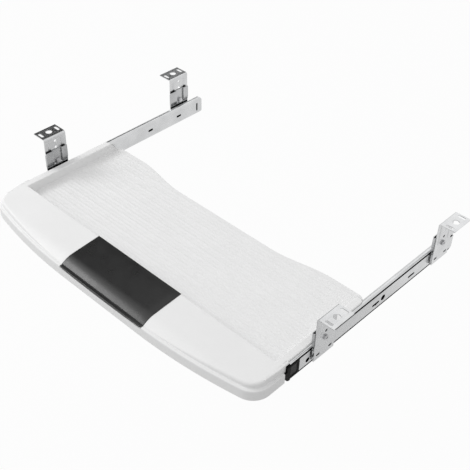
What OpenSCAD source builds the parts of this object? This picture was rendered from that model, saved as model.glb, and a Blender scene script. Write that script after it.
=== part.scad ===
// Under-desk keyboard tray: a moulded tray with a wrist pad, hung on two ball slides
// from four height-adjustable desk brackets. Millimetres, +X right, +Y to the back,
// +Z up. The origin is midway between the brackets, on the underside of the desk.

/* [Tray] */
// Width of the tray between its two slides
tray_w = 597; // [500:1:760]
// Palm rest, from the front edge back to its step
palm_d = 83.8; // [70:0.1:110]
// Keyboard well, from the step back to the rear edge
well_d = 212; // [180:1:240]
// Depth of the keyboard well below the rim
well_h = 18.5; // [14:0.1:24]
// Height of the front edge, rim to skirt
front_h = 33; // [30:0.1:44]
// Drop from the rim to the ledge round the front
ledge_drop = 13.5; // [11:0.1:16]
// Width of that ledge
ledge_w = 5.5; // [4:0.1:7]
// Wall of the moulding
tray_t = 2.6; // [2:0.1:3.2]
// Radius of the front corners
corner_r = 32.5; // [20:0.5:40]
// Half of the straight middle of the front edge
bow_flat = 87; // [60:1:150]
// Radius of the bowed ends of the front edge
bow_r = 1010; // [700:10:1500]
// Fall of the palm rest towards the front, in degrees
palm_slope = 4.6; // [2:0.1:6]
// Radius of the rolled front of the palm rest
roll_r = 42; // [34:1:60]
// Length of the side rims behind the step
rim_l = 189; // [150:1:200]
// How far the rear edge is scooped out in the middle
scoop = 16.5; // [6:0.5:24]
// Pitch of the anti-slip ribs in the well
rib_pitch = 15; // [10:0.1:24]
// Height of those ribs
rib_h = 0.4; // [0.3:0.1:1]
// Gap between the side wall and the slide, filled by the screw bosses
boss_l = 4.9; // [4:0.1:8]

/* [Wrist pad] */
// Width of the pad
pad_w = 195; // [150:1:260]
// Thickness of the pad
pad_t = 3.2; // [2.5:0.1:4.5]
// Height of the hooked lip at its front
hook_h = 4.2; // [3:0.1:6]
// Thickness of that lip
hook_t = 1.4; // [1:0.1:1.8]

/* [Slides] */
// Height of the slide
slide_h = 35; // [33:0.1:40]
// Thickness of the slide
slide_t = 12; // [11.5:0.1:14]
// Drop from the desk to the middle of the slide
slide_drop = 77.5; // [74:0.5:90]
// Sheet of the channel and the rail
slide_gauge = 1.2; // [1:0.05:1.4]
// Diameter of the bearing balls
ball_d = 4; // [3.8:0.05:4.2]
// Balls in one row
ball_n = 8; // [5:1:10]
// Length of the channel fixed to the tray
channel_l = 423; // [410:1:440]
// How far the tray pulls out
travel_l = 270; // [230:1:290]

/* [Desk brackets] */
// Length of a bracket along the slide
bracket_l = 46.5; // [44:0.5:54]
// Width of the plate under the desk
plate_w = 28; // [26:0.5:36]
// Sheet of the brackets
sheet = 1.5; // [1.2:0.05:1.7]
// Diameter of the round hole in each plate
plate_hole_d = 12; // [8:0.5:14]
// Width of the two slots in each plate
slot_w = 5; // [4:0.1:6]
// Length of those slots
slot_l = 14; // [10:0.5:16]
// Distance from the round hole to each slot
slot_pitch = 17.4; // [15:0.1:18]
// Pitch of the height-setting holes
height_pitch = 13.3; // [12:0.1:14]
// Diameter of the clamp bolts
bolt_d = 5; // [4:0.1:6]

/* [Clearances] */
// Gap between moving members of a slide
run_gap = 0.5; // [0.4:0.05:0.7]
// Gap of a ball in its races
ball_gap = 0.05; // [0.03:0.01:0.08]
// Gap round a pressed or bolted shank
pin_gap = 0.05; // [0.03:0.01:0.1]
// Gap round the pad and the bumpers
fit_gap = 0.2; // [0.1:0.05:0.3]

/* [Hidden] */
$fn = 48;
BIG_FN = 360;

// Stack across the width, from the slide out to the desk plate
channel_x = tray_w / 2;
slide_x = channel_x + slide_t;
hanger_x = slide_x + run_gap + 0.2;
web_in_x = hanger_x + sheet + 0.8;
web_x = web_in_x + sheet;
hole_x = web_x + plate_w / 2 + 1;

// Stack along the slide
bumper_plug = 21.5;
bumper_nose = 11;
rail_l = channel_l - bumper_plug - 3;
rail_front = 48.5;
rail_rear = 46;
bracket_pitch = rail_l - rail_front - rail_rear;
bracket_y = bracket_pitch / 2;
rail_y = -bracket_y - rail_front;
channel_y = rail_y - bumper_plug;
channel_rear_y = channel_y + channel_l;
tab_y = channel_rear_y - 11;
stop_t = 2;
step_y = channel_y - bumper_nose - 0.5;
front_y = step_y - palm_d;
rear_y = step_y + well_d;
rim_y = step_y + rim_l;

// Heights
slide_z = -slide_drop;
flange_t = 2.4;
rim_z = slide_z + slide_h / 2 + 0.1 + flange_t;
floor_z = rim_z - well_h;
ledge_z = rim_z - ledge_drop;
skirt_z = rim_z - front_h;

// Slide section, measured from the channel's web (u) and the slide's middle (w)
race_bend_r = 5.5;
ball_u = 6;
ball_w = slide_h / 2 - slide_gauge - ball_d / 2 - ball_gap;
race_r = ball_d / 2 + ball_gap;
rail_u = slide_t - 1.3;
rail_half = ball_w - 1.9;
rail_x = channel_x + rail_u;
cage_t = 0.6;
cage_u = 2.9;
cage_front = rail_y + stop_t + travel_l / 2 + run_gap;
cage_l = tab_y - run_gap - travel_l / 2 - cage_front;
ball_inset = 6;

// Tray shapes
wall_x = channel_x - boss_l;
well_x = wall_x - tray_t;
skirt_x = slide_x;
screw_d = 4;
screw_head_d = 8;
screw_head_h = 1.2;
screw_ys = [for (f = [0.22, 0.53, 0.84]) step_y + f * rim_l];
edge_rib_h = 6;
first_rib = 5;
roll_foot = 0.5;
under_t = tray_t - 0.6;
under_pitch = skirt_x / 5;

// Bracket shapes
bolt_rise = 26.6;
bolt_z = slide_z + bolt_rise;
hanger_top = bolt_z + 23.4;
tongue_x = bolt_d + 4;
web_bottom = slide_z - 9.5;
rivet_d = 4;
rivet_off = 14;
rail_face_top = slide_z + rail_half;

// Extrudes a drawing in (y, z) along X, both sides of the middle
module along_x(len) {
    translate([-len / 2, 0, 0]) rotate([90, 0, 90]) linear_extrude(len) children();
}

// Extrudes a drawing in (x, z) along Y, from y0 backwards
module along_y(y0, len) {
    translate([0, y0 + len, 0]) rotate([90, 0, 0]) linear_extrude(len) children();
}

// Extrudes a drawing in (y, z) along X, from x0 outwards
module from_x(x0, len) {
    translate([x0, 0, 0]) rotate([90, 0, 90]) linear_extrude(len) children();
}

// Mirrors what is drawn on the right to the left
module on_side(side) {
    if (side == "right") children();
    else mirror([1, 0, 0]) children();
}

// Round bar along X, from x0 outwards
module bar_x(x0, len, d, y, z) {
    translate([x0, y, z]) rotate([0, 90, 0]) cylinder(d = d, h = len);
}

module slot_2d(len, wid) {
    square([len - wid, wid], center = true);
    for (s = [-1, 1]) translate([s * (len - wid) / 2, 0]) circle(d = wid);
}

// Tray

// Curves that would only touch are shifted by this much, so that they cross cleanly
cross = 0.05;

// Palm rest profile: a sloped line from the step, then an arc down to the foot of a low wall
palm_dir = [-cos(palm_slope), -sin(palm_slope)];
palm_up = [-sin(palm_slope), cos(palm_slope)];
roll_end = [front_y + ledge_w, ledge_z + roll_foot];
roll_q = roll_end - [step_y, rim_z] + roll_r * palm_up;
roll_qd = roll_q * palm_dir;
roll_start = [step_y, rim_z]
    + (roll_qd - sqrt(roll_qd * roll_qd - roll_q * roll_q + roll_r * roll_r)) * palm_dir;
roll_c = roll_start - roll_r * palm_up;

// Everything under the palm rest, d below its surface, in (y, z)
module under_palm(d) {
    top = roll_start - d * palm_up;
    base = skirt_z - 1;
    back = [step_y, rim_z - d / cos(palm_slope)];
    far = back + (palm_d + 5) * palm_dir;
    intersection() {
        polygon([[step_y, base], back, far, [far.x, base]]);
        union() {
            translate(roll_c + cross * palm_up) circle(r = roll_r - d, $fn = BIG_FN);
            translate([top.x, base - 1]) square([step_y + 1 - top.x, front_h + 3]);
        }
    }
}

// Plan of the front, d inside the skirt: straight middle, bowed ends, round corners
module front_plan(d) {
    hw = skirt_x - d;
    fy = front_y + d;
    big = bow_r - d;
    small = corner_r - d;
    big_c = [bow_flat, fy + big];
    small_x = hw - small;
    small_c = [small_x, big_c.y - sqrt(pow(big - small, 2) - pow(small_x - bow_flat, 2))];
    tangent = (small_c - big_c) / norm(small_c - big_c);
    touch = big_c + (big + 2) * tangent;
    difference() {
        intersection() {
            translate([-hw, fy]) square([2 * hw, step_y - fy]);
            union() {
                translate([-bow_flat, fy - 1]) square([2 * bow_flat, big]);
                for (s = [-1, 1]) translate([s * big_c.x, big_c.y - cross]) circle(r = big, $fn = BIG_FN);
            }
        }
        for (s = [0, 1]) mirror([s, 0]) difference() {
            polygon([small_c, [hw + 1, small_c.y], [hw + 1, fy - 5], touch]);
            translate(small_c + 2 * cross * tangent) circle(r = small, $fn = 96);
        }
    }
}

// Front of the tray, hollow from below, with the step and the pad's recess
module palm_rest() {
    difference() {
        union() {
            intersection() {
                along_x(2 * skirt_x) under_palm(0);
                translate([0, 0, skirt_z]) linear_extrude(front_h) front_plan(ledge_w);
            }
            translate([0, 0, skirt_z]) linear_extrude(front_h - ledge_drop) front_plan(0);
        }
        difference() {
            union() {
                intersection() {
                    along_x(2 * skirt_x) under_palm(tray_t);
                    translate([0, 0, skirt_z - 1]) linear_extrude(front_h) front_plan(ledge_w + tray_t);
                }
                translate([0, 0, skirt_z - 1]) linear_extrude(front_h - ledge_drop + 1 - tray_t)
                    front_plan(tray_t);
            }
            along_x(2 * skirt_x) translate([step_y - tray_t, skirt_z - 2]) square([tray_t + 1, front_h + 4]);
            pad_bed();
            palm_ribs();
        }
        pad_space();
    }
}

// Thickened bed that carries the pad
module pad_bed() {
    along_x(pad_w + 2 * fit_gap + 2 * tray_t) {
        difference() {
            under_palm(0);
            under_palm(pad_t + tray_t);
        }
        translate([front_y, ledge_z - hook_t - tray_t]) square([ledge_w + 2 * pad_t, hook_t + tray_t]);
        translate([front_y, ledge_z - hook_h - tray_t]) square([hook_t + tray_t, hook_h + tray_t]);
    }
}

// Section of the pad in (y, z): a sheet over the palm rest, a flange on the ledge, a hook
module pad_section() {
    intersection() {
        difference() {
            under_palm(0);
            under_palm(pad_t);
        }
        translate([roll_end.x, ledge_z - hook_t]) square([palm_d, ledge_drop + hook_t]);
    }
    translate([front_y, ledge_z - hook_t]) square([ledge_w + 0.01, hook_t]);
    translate([front_y, ledge_z - hook_h]) square([hook_t, hook_h]);
}

// Plan of the pad, its front corners rounded, grown by d at the sides and the corners
module pad_plan(d) {
    half = pad_w / 2 + d;
    round_r = ledge_w;
    difference() {
        translate([-half, front_y - 1]) square([2 * half, palm_d + 1]);
        for (s = [0, 1]) mirror([s, 0]) difference() {
            translate([half - round_r, front_y - 2]) square([round_r + 1, round_r + 2]);
            translate([half - round_r, front_y + round_r]) circle(r = round_r);
        }
    }
}

// Room cut for the pad, open to the front and above
module pad_space() {
    above = 1;
    intersection() {
        along_x(pad_w + 2 * fit_gap) {
            difference() {
                translate([front_y - above, ledge_z - hook_t])
                    square([palm_d + above, ledge_drop + hook_t + above]);
                under_palm(pad_t);
            }
            translate([front_y - above, ledge_z - hook_h - fit_gap])
                square([hook_t + above, hook_h + fit_gap]);
        }
        translate([0, 0, skirt_z]) linear_extrude(front_h + 2 * above) pad_plan(fit_gap);
    }
}

// Shallow stiffening ribs under the flat part of the palm rest
module palm_ribs() {
    deep = tray_t + edge_rib_h;
    for (i = [-4 : 4]) translate([i * under_pitch, 0, 0]) along_x(under_t)
        polygon([[step_y, rim_z], roll_start, roll_start - deep * palm_up,
            [step_y, rim_z - deep / cos(palm_slope)]]);
}

// Rear edge of the well: level at the sides, scooped out in the middle
scoop_in = 0.37;
scoop_out = 0.78;
function blend(t) = t <= 0 ? 0 : t >= 1 ? 1 : (1 - cos(180 * t)) / 2;
function rear_edge(x) =
    rear_y - scoop * (1 - blend((abs(x) / wall_x - scoop_in) / (scoop_out - scoop_in)));

// Plan of the well's floor, d inside its rear edge
module well_plan(d) {
    steps = 20;
    curve = [for (i = [0 : steps]) scoop_in + (scoop_out - scoop_in) * i / steps];
    half = [for (f = curve) [f * wall_x, rear_edge(f * wall_x) - d]];
    round_r = 14;
    difference() {
        polygon(concat(
            [[-wall_x, step_y - tray_t], [wall_x, step_y - tray_t], [wall_x, rear_y - d]],
            [for (i = [steps : -1 : 0]) half[i]],
            [for (i = [0 : steps]) [-half[i].x, half[i].y]],
            [[-wall_x, rear_y - d]]
        ));
        for (s = [0, 1]) mirror([s, 0]) difference() {
            translate([wall_x - round_r, rear_y - d - round_r]) square(round_r + 1);
            translate([wall_x - round_r, rear_y - d - round_r]) circle(r = round_r);
        }
    }
}

module well_floor() {
    rib_half = 1.6;
    rib_r = (rib_half * rib_half + rib_h * rib_h) / (2 * rib_h);
    rib_n = floor((well_d - 8 - first_rib) / rib_pitch);
    translate([0, 0, floor_z - tray_t]) linear_extrude(tray_t) well_plan(0);
    intersection() {
        translate([0, 0, floor_z - 0.01]) linear_extrude(rib_h + 1) well_plan(3);
        along_x(2 * well_x - 12) for (i = [1 : rib_n])
            intersection() {
                translate([step_y + first_rib + i * rib_pitch, floor_z + rib_h - rib_r]) circle(r = rib_r);
                translate([step_y, floor_z - 0.01]) square([well_d, rib_h + 1]);
            }
    }
    // Edge rib along the rear, and the cross ribs below
    translate([0, 0, floor_z - tray_t - edge_rib_h]) linear_extrude(edge_rib_h) difference() {
        well_plan(0);
        well_plan(tray_t);
        translate([-channel_x, step_y - 2 * tray_t]) square([2 * channel_x, 3 * tray_t]);
    }
    translate([0, 0, floor_z - tray_t - edge_rib_h]) linear_extrude(edge_rib_h) intersection() {
        well_plan(tray_t / 2);
        union() {
            for (i = [-4 : 4]) translate([i * under_pitch - under_t / 2, step_y - tray_t])
                square([under_t, well_d]);
            for (f = [0.3, 0.6]) translate([-wall_x, step_y + f * well_d]) square([2 * wall_x, under_t]);
        }
    }
}

// One side of the well: wall, rim flange over the slide, gussets and screw bosses
module well_side() {
    run_out = well_h * 0.75;
    low = floor_z - tray_t - edge_rib_h;
    from_x(well_x, tray_t) polygon([
        [step_y - tray_t, low], [step_y - tray_t, rim_z], [rim_y, rim_z],
        [rim_y + run_out, floor_z], [rim_y + run_out, low]
    ]);
    rim_x = skirt_x - ledge_w;
    round_r = 9;
    translate([0, 0, rim_z - flange_t]) linear_extrude(flange_t) difference() {
        translate([well_x, step_y - tray_t]) square([rim_x - well_x, rim_l + tray_t]);
        difference() {
            translate([rim_x - round_r, rim_y - round_r]) square(round_r + 1);
            translate([rim_x - round_r, rim_y - round_r]) circle(r = round_r);
        }
    }
    for (y = screw_ys) difference() {
        union() {
            bar_x(wall_x - 0.01, boss_l + 0.01, screw_d + 6, y, slide_z);
            from_x(wall_x - 0.01, boss_l - run_gap) translate([y - 1, slide_z]) square([2, rim_z - slide_z - 1]);
        }
        bar_x(wall_x - tray_t + 1, boss_l + tray_t, screw_d + 2 * pin_gap, y, slide_z);
    }
}

module tray_shell() {
    color("whitesmoke") difference() {
        union() {
            palm_rest();
            well_floor();
            well_side();
            mirror([1, 0, 0]) well_side();
        }
        for (s = [0, 1], y = screw_ys) mirror([s, 0, 0])
            bar_x(wall_x - tray_t + 1, boss_l + tray_t, screw_d + 2 * pin_gap, y, slide_z);
    }
}

// Wrist pad: a flush sheet on its bed, with a lip that hooks over the ledge
module wrist_pad() {
    color([0.1, 0.1, 0.1]) intersection() {
        along_x(pad_w) pad_section();
        translate([0, 0, skirt_z]) linear_extrude(front_h + 1) pad_plan(0);
    }
}

// Slides

// Moves a drawing from the slide section (u, w) to (x, z)
module slide_section() {
    translate([channel_x, slide_z]) children();
}

module rounded_box_2d(u0, u1, half, r) {
    translate([u0 + r, -half]) square([u1 - u0 - 2 * r, 2 * half]);
    translate([u0, -half + r]) square([u1 - u0, 2 * half - 2 * r]);
    for (u = [u0 + r, u1 - r], s = [-1, 1]) translate([u, s * (half - r)]) circle(r = r);
}

// Channel: a C section open outwards, bent round over the balls into short lips
module channel_2d() {
    half = slide_h / 2;
    lip_end = half - 1.5;
    difference() {
        rounded_box_2d(0, slide_t, half, race_bend_r);
        rounded_box_2d(slide_gauge, slide_t - slide_gauge, half - slide_gauge, race_bend_r - slide_gauge);
        translate([slide_t - race_bend_r, -lip_end]) square([race_bend_r + 1, 2 * lip_end]);
    }
}

module tray_channel() {
    end_r = 6;
    slot_ys = [for (i = [0, 1]) tab_y - 53 - 76 * i];
    color("silver") {
        difference() {
            along_y(channel_y, channel_l) slide_section() channel_2d();
            // Rounded rear corners
            from_x(channel_x - 1, slide_t + 2) for (s = [-1, 1]) translate([channel_rear_y - end_r, slide_z])
                difference() {
                    translate([0, s > 0 ? slide_h / 2 - end_r : -slide_h / 2 - 1]) square([end_r + 1, end_r + 1]);
                    translate([0, s * (slide_h / 2 - end_r)]) circle(r = end_r);
                }
            from_x(channel_x - 1, slide_gauge + 2) {
                translate([tab_y - 2.4, slide_z]) rotate(90) slot_2d(18, 3.6);
                for (y = slot_ys) translate([y, slide_z]) slot_2d(12, 4.6);
            }
            for (y = screw_ys) bar_x(channel_x - 1, slide_gauge + 2, screw_d + 0.4, y, slide_z);
        }
        // Stop tab lanced out of the web
        translate([channel_x + slide_gauge / 2, tab_y, slide_z - 7])
            cube([cage_u + cage_t + 0.4 - slide_gauge / 2, slide_gauge, 14]);
    }
}

// Side view of the bumper's nose in (y, w): a chin beside the tray's skirt, round at its foot,
// and a head set back behind the ledge
module bumper_nose_2d() {
    half = slide_h / 2;
    foot = 3 - half;
    foot_r = bumper_nose + 1;
    head_in = 3.4;
    head_r = 3;
    intersection() {
        translate([0, foot]) square([bumper_nose, ledge_z - slide_z - foot]);
        union() {
            translate([foot_r, foot + foot_r]) circle(r = foot_r);
            translate([0, foot + foot_r]) square([bumper_nose, slide_h]);
        }
    }
    translate([head_in, 0]) square([bumper_nose - head_in, half - head_r]);
    translate([head_in + head_r, 0]) square([bumper_nose - head_in - head_r, half]);
    translate([head_in + head_r, half - head_r]) circle(r = head_r);
}

// Plastic bumper that plugs the front of the channel and stops the rail
module front_bumper() {
    half = slide_h / 2;
    nose_y = channel_y - bumper_nose;
    edge_r = 3;
    plug_in = slide_gauge + fit_gap;
    panel = [bumper_plug - 4, 20];
    panel_deep = 0.9;
    color([0.12, 0.12, 0.12]) difference() {
        union() {
            intersection() {
                along_y(nose_y, bumper_nose) slide_section() rounded_box_2d(fit_gap, slide_t + 0.4, half, edge_r);
                from_x(channel_x, slide_t + 1) translate([nose_y, slide_z]) bumper_nose_2d();
            }
            along_y(channel_y - 0.01, bumper_plug - 0.3) slide_section()
                rounded_box_2d(plug_in, slide_t - plug_in, half - plug_in, race_bend_r - plug_in);
        }
        from_x(slide_x - plug_in - panel_deep, 5)
            translate([channel_y, slide_z - panel.y / 2 - 1]) square(panel);
    }
}

module channel_screws() {
    color("dimgray") for (y = screw_ys) {
        bar_x(wall_x - tray_t + 1.2, boss_l + tray_t + slide_gauge - 1.2, screw_d, y, slide_z);
        difference() {
            bar_x(channel_x + slide_gauge, screw_head_h, screw_head_d, y, slide_z);
            for (a = [0, 90]) translate([channel_x + slide_gauge + 0.5, y, slide_z]) rotate([a, 0, 0])
                translate([0, -0.45, -2.2]) cube([2, 0.9, 4.4]);
        }
    }
}

// Rail: web between two curved races that cup the balls
module rail_2d() {
    translate([rail_u - slide_gauge, -rail_half]) square([slide_gauge, 2 * rail_half]);
    for (s = [0, 1]) mirror([0, s]) difference() {
        union() {
            intersection() {
                translate([ball_u, ball_w]) circle(r = race_r + slide_gauge);
                translate([ball_u - 2.1, 0]) square([4, rail_half + 0.3]);
            }
            translate([ball_u + 1.4, rail_half - slide_gauge]) square([rail_u - ball_u - 1.4, slide_gauge]);
        }
        translate([ball_u, ball_w]) circle(r = race_r);
    }
}

module fixed_rail() {
    hole_d = 5;
    hole_drop = 2.8;
    long_slot = [18, 4.4];
    end_hole = 8.6;
    end_hole_in = 18.5;
    end_drop = 3.9;
    slot_ys = [for (f = [0.46, 0.7]) rail_y + f * rail_l];
    hole_ys = [for (f = [0.3, 0.52]) rail_y + f * rail_l];
    color("gainsboro") {
        difference() {
            along_y(rail_y, rail_l) slide_section() rail_2d();
            from_x(rail_x - slide_gauge - 1, slide_gauge + 2) {
                translate([rail_y + end_hole_in, slide_z - end_drop]) circle(d = end_hole);
                for (y = slot_ys) translate([y, slide_z - hole_drop]) slot_2d(long_slot.x, long_slot.y);
                for (y = hole_ys) translate([y, slide_z - hole_drop]) circle(d = hole_d);
            }
            for (e = [-1, 1], r = [-1, 1])
                bar_x(rail_x - slide_gauge - 1, slide_gauge + 2, rivet_d + 2 * pin_gap,
                    e * bracket_y + r * rivet_off, slide_z);
        }
        // Stop for the cage, bent in from the front end
        translate([channel_x + cage_u - 0.1, rail_y, slide_z - 5])
            cube([rail_u - slide_gauge / 2 - cage_u + 0.1, slide_gauge, 10]);
    }
}

// Ball cage: a strip bent round behind the rail, with a hole for each ball
module ball_cage() {
    arm_end = ball_u + ball_d / 2 + 0.9;
    pitch = (cage_l - 2 * ball_inset) / (ball_n - 1);
    color("goldenrod") difference() {
        along_y(cage_front, cage_l) slide_section() {
            translate([cage_u, -ball_w - cage_t / 2]) square([cage_t, 2 * ball_w + cage_t]);
            for (s = [-1, 1]) translate([cage_u, s * ball_w - cage_t / 2]) square([arm_end - cage_u, cage_t]);
        }
        for (i = [0 : ball_n - 1])
            translate([channel_x + ball_u, cage_front + ball_inset + i * pitch, slide_z - slide_h])
                cylinder(d = ball_d + 2 * pin_gap, h = 2 * slide_h);
    }
}

module slide_balls() {
    pitch = (cage_l - 2 * ball_inset) / (ball_n - 1);
    color("lightgray") for (i = [0 : ball_n - 1], s = [-1, 1])
        translate([channel_x + ball_u, cage_front + ball_inset + i * pitch, slide_z + s * ball_w])
            sphere(d = ball_d);
}

// Rivets that hold the rail on its hangers
module rail_rivets() {
    head_d = 7;
    head_h = 1.3;
    leg_x = rail_x + sheet;
    color("silver") for (e = [-1, 1], r = [-1, 1]) {
        y = e * bracket_y + r * rivet_off;
        bar_x(rail_x - slide_gauge - 0.9, slide_gauge + sheet + 1.8, rivet_d, y, slide_z);
        bar_x(leg_x, head_h, head_d, y, slide_z);
        bar_x(rail_x - slide_gauge - 0.9, 0.9, head_d - 1, y, slide_z);
    }
}

// Brackets, drawn at the right with their middle at y = 0

// Section of a stiffening bead pressed out of the web, in (x, y)
bead_r = 5;
bead_h = 1;
module bead_2d(r) {
    intersection() {
        translate([web_x + bead_h - bead_r, 0]) circle(r = r);
        translate([web_in_x, -bead_r]) square([sheet + bead_h, 2 * bead_r]);
    }
}

// Desk angle: slotted plate and a long web with beads and height holes
module desk_angle() {
    bend_r = 3;
    half = bracket_l / 2;
    bead_y = 14;
    bead_top = -7;
    bead_l = 40;
    ear_l = web_x - rail_x - sheet - 0.6;
    ear_top = rail_face_top - 1.2;
    color("lightsteelblue") difference() {
        union() {
            // Plate, bend and web in one drawing
            along_y(-half, bracket_l) {
                translate([web_in_x + bend_r, -sheet]) square([plate_w + sheet - bend_r, sheet]);
                translate([web_in_x, web_bottom]) square([sheet, -web_bottom - bend_r]);
                intersection() {
                    translate([web_in_x, -bend_r]) square(bend_r);
                    translate([web_in_x + bend_r, -bend_r]) difference() {
                        circle(r = bend_r);
                        circle(r = bend_r - sheet);
                    }
                }
            }
            for (s = [-1, 1]) translate([0, s * bead_y, bead_top - bead_l])
                linear_extrude(bead_l) bead_2d(bead_r);
            for (s = [0, 1]) mirror([0, s, 0]) translate([web_x - ear_l, half - sheet, web_bottom])
                cube([ear_l, sheet, ear_top - web_bottom]);
        }
        // Hollow side of the beads
        for (s = [-1, 1]) translate([0, s * bead_y, bead_top - bead_l + sheet])
            linear_extrude(bead_l - 2 * sheet) bead_2d(bead_r - sheet);
        // Holes in the plate
        translate([hole_x, 0, -sheet - 1]) cylinder(d = plate_hole_d, h = sheet + 2);
        for (s = [-1, 1]) translate([hole_x, s * slot_pitch, -sheet - 1])
            linear_extrude(sheet + 2) slot_2d(slot_l, slot_w);
        // Height holes, and access slots over the rivets
        for (i = [0 : 3]) bar_x(web_in_x - 1, sheet + 3, bolt_d + 2 * pin_gap, 0, bolt_z + i * height_pitch);
        from_x(web_in_x - 1, sheet + 3) for (s = [-1, 1])
            translate([s * rivet_off, slide_z]) slot_2d(8, 4);
    }
}

// Hanger: two wings before the web, walled at their ends, and a middle tongue clamped to the web;
// the foot is cranked past the channel to the rail
module hanger() {
    half = bracket_l / 2 - sheet - 0.4;
    front_half = bracket_l / 2 + fit_gap + sheet;
    wing_x = hanger_x - 2;
    crank_top = hanger_top - 22;
    crank_low = slide_z + slide_h / 2 + 3;
    wall_top = hanger_top - 2.5;
    front_low = slide_z + slide_h / 2 - 2;
    leg_top = rail_face_top - 0.8;
    leg_low = web_bottom;
    turn = leg_top - (hanger_x - rail_x);
    wing = [
        [hanger_x, crank_low], [wing_x, crank_top], [wing_x, hanger_top], [wing_x + sheet, hanger_top],
        [wing_x + sheet, crank_top], [hanger_x + sheet, crank_low]
    ];
    leg = [[hanger_x + sheet, leg_top], [rail_x + sheet, turn], [rail_x + sheet, leg_low], [rail_x, leg_low],
        [rail_x, turn], [hanger_x, leg_top]];
    color("lightgray") difference() {
        union() {
            // Two wings on their legs, and the front wing's end beside the web
            for (s = [0, 1]) mirror([0, s, 0]) along_y(tongue_x, half - tongue_x) polygon(concat(wing, leg));
            along_y(-front_half, front_half - half + sheet)
                polygon(concat(wing, [[hanger_x + sheet, front_low], [hanger_x, front_low]]));
            // Middle tongue, flat against the web
            along_y(-tongue_x - sheet, 2 * tongue_x + 2 * sheet) polygon(concat([
                [hanger_x, crank_low], [web_in_x - sheet, crank_low + 1],
                [web_in_x - sheet, hanger_top], [web_in_x, hanger_top],
                [web_in_x, crank_low + 1], [hanger_x + sheet, crank_low]
            ], leg));
            // Steps between tongue and wings
            for (s = [0, 1]) mirror([0, s, 0]) along_y(tongue_x, sheet) polygon([
                [wing_x, hanger_top], [web_in_x, hanger_top], [web_in_x, crank_low + 1],
                [hanger_x, crank_low], [wing_x, crank_top]
            ]);
            // Walls at the wings' ends
            for (y = [-front_half, half - sheet]) along_y(y, sheet) polygon([
                [wing_x, wall_top], [web_in_x, wall_top], [web_in_x, crank_low + 1],
                [hanger_x, crank_low], [wing_x, crank_top]
            ]);
        }
        bar_x(hanger_x - 5, 12, bolt_d + 2 * pin_gap, 0, bolt_z);
        for (r = [-1, 1]) bar_x(rail_x - 1, sheet + 2, rivet_d + 2 * pin_gap, r * rivet_off, slide_z);
        // Relief cut out of the foot of the leg
        from_x(rail_x - 1, sheet + 2) translate([0, leg_low]) circle(r = 6);
    }
}

module clamp_bolts() {
    head_d = 1.8 * bolt_d;
    head_h = 0.6 * bolt_d;
    color("silver") for (e = [-1, 1]) {
        y = e * bracket_y;
        bar_x(web_in_x - sheet - 0.8 * bolt_d - 0.7, 2 * sheet + 0.8 * bolt_d + 0.7, bolt_d, y, bolt_z);
        difference() {
            bar_x(web_x, head_h, head_d, y, bolt_z);
            for (a = [0, 90]) translate([web_x + head_h - 1.5, y, bolt_z]) rotate([a, 0, 0])
                translate([0, -0.5, -2.4]) cube([2, 1, 4.8]);
        }
    }
}

module clamp_nuts() {
    nut_h = 0.8 * bolt_d;
    nut_x = web_in_x - sheet - nut_h;
    color("silver") for (e = [-1, 1]) difference() {
        translate([nut_x, e * bracket_y, bolt_z]) rotate([0, 90, 0])
            cylinder(d = 1.84 * bolt_d, h = nut_h, $fn = 6);
        bar_x(nut_x - 1, nut_h + 2, bolt_d + 2 * pin_gap, e * bracket_y, bolt_z);
    }
}

// Places one bracket piece
module at_bracket(end, side) {
    on_side(side) translate([0, end == "front" ? -bracket_y : bracket_y, 0]) children();
}

tray_shell();
wrist_pad();
for (s = ["left", "right"]) on_side(s) {
    tray_channel();
    front_bumper();
    channel_screws();
    ball_cage();
    slide_balls();
    fixed_rail();
    rail_rivets();
    clamp_bolts();
    clamp_nuts();
}
for (e = ["front", "rear"], s = ["left", "right"]) at_bracket(e, s) {
    desk_angle();
    hanger();
}
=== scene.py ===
import math

import bmesh
import bpy
from mathutils import Matrix, Vector


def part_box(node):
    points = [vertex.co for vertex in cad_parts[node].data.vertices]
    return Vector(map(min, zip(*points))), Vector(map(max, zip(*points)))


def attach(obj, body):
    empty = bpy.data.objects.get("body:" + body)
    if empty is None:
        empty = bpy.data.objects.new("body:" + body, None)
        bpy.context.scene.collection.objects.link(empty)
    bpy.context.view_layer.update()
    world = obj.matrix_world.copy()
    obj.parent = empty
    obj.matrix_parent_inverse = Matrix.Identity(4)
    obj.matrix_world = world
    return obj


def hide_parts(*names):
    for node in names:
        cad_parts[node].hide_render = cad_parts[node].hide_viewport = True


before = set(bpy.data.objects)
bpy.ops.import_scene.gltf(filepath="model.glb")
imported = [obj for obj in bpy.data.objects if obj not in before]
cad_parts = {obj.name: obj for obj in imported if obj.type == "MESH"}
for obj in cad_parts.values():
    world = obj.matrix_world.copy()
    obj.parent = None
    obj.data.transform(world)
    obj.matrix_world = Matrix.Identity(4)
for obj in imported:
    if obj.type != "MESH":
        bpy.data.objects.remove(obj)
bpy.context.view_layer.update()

scene = bpy.context.scene
MM = 0.001

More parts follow.
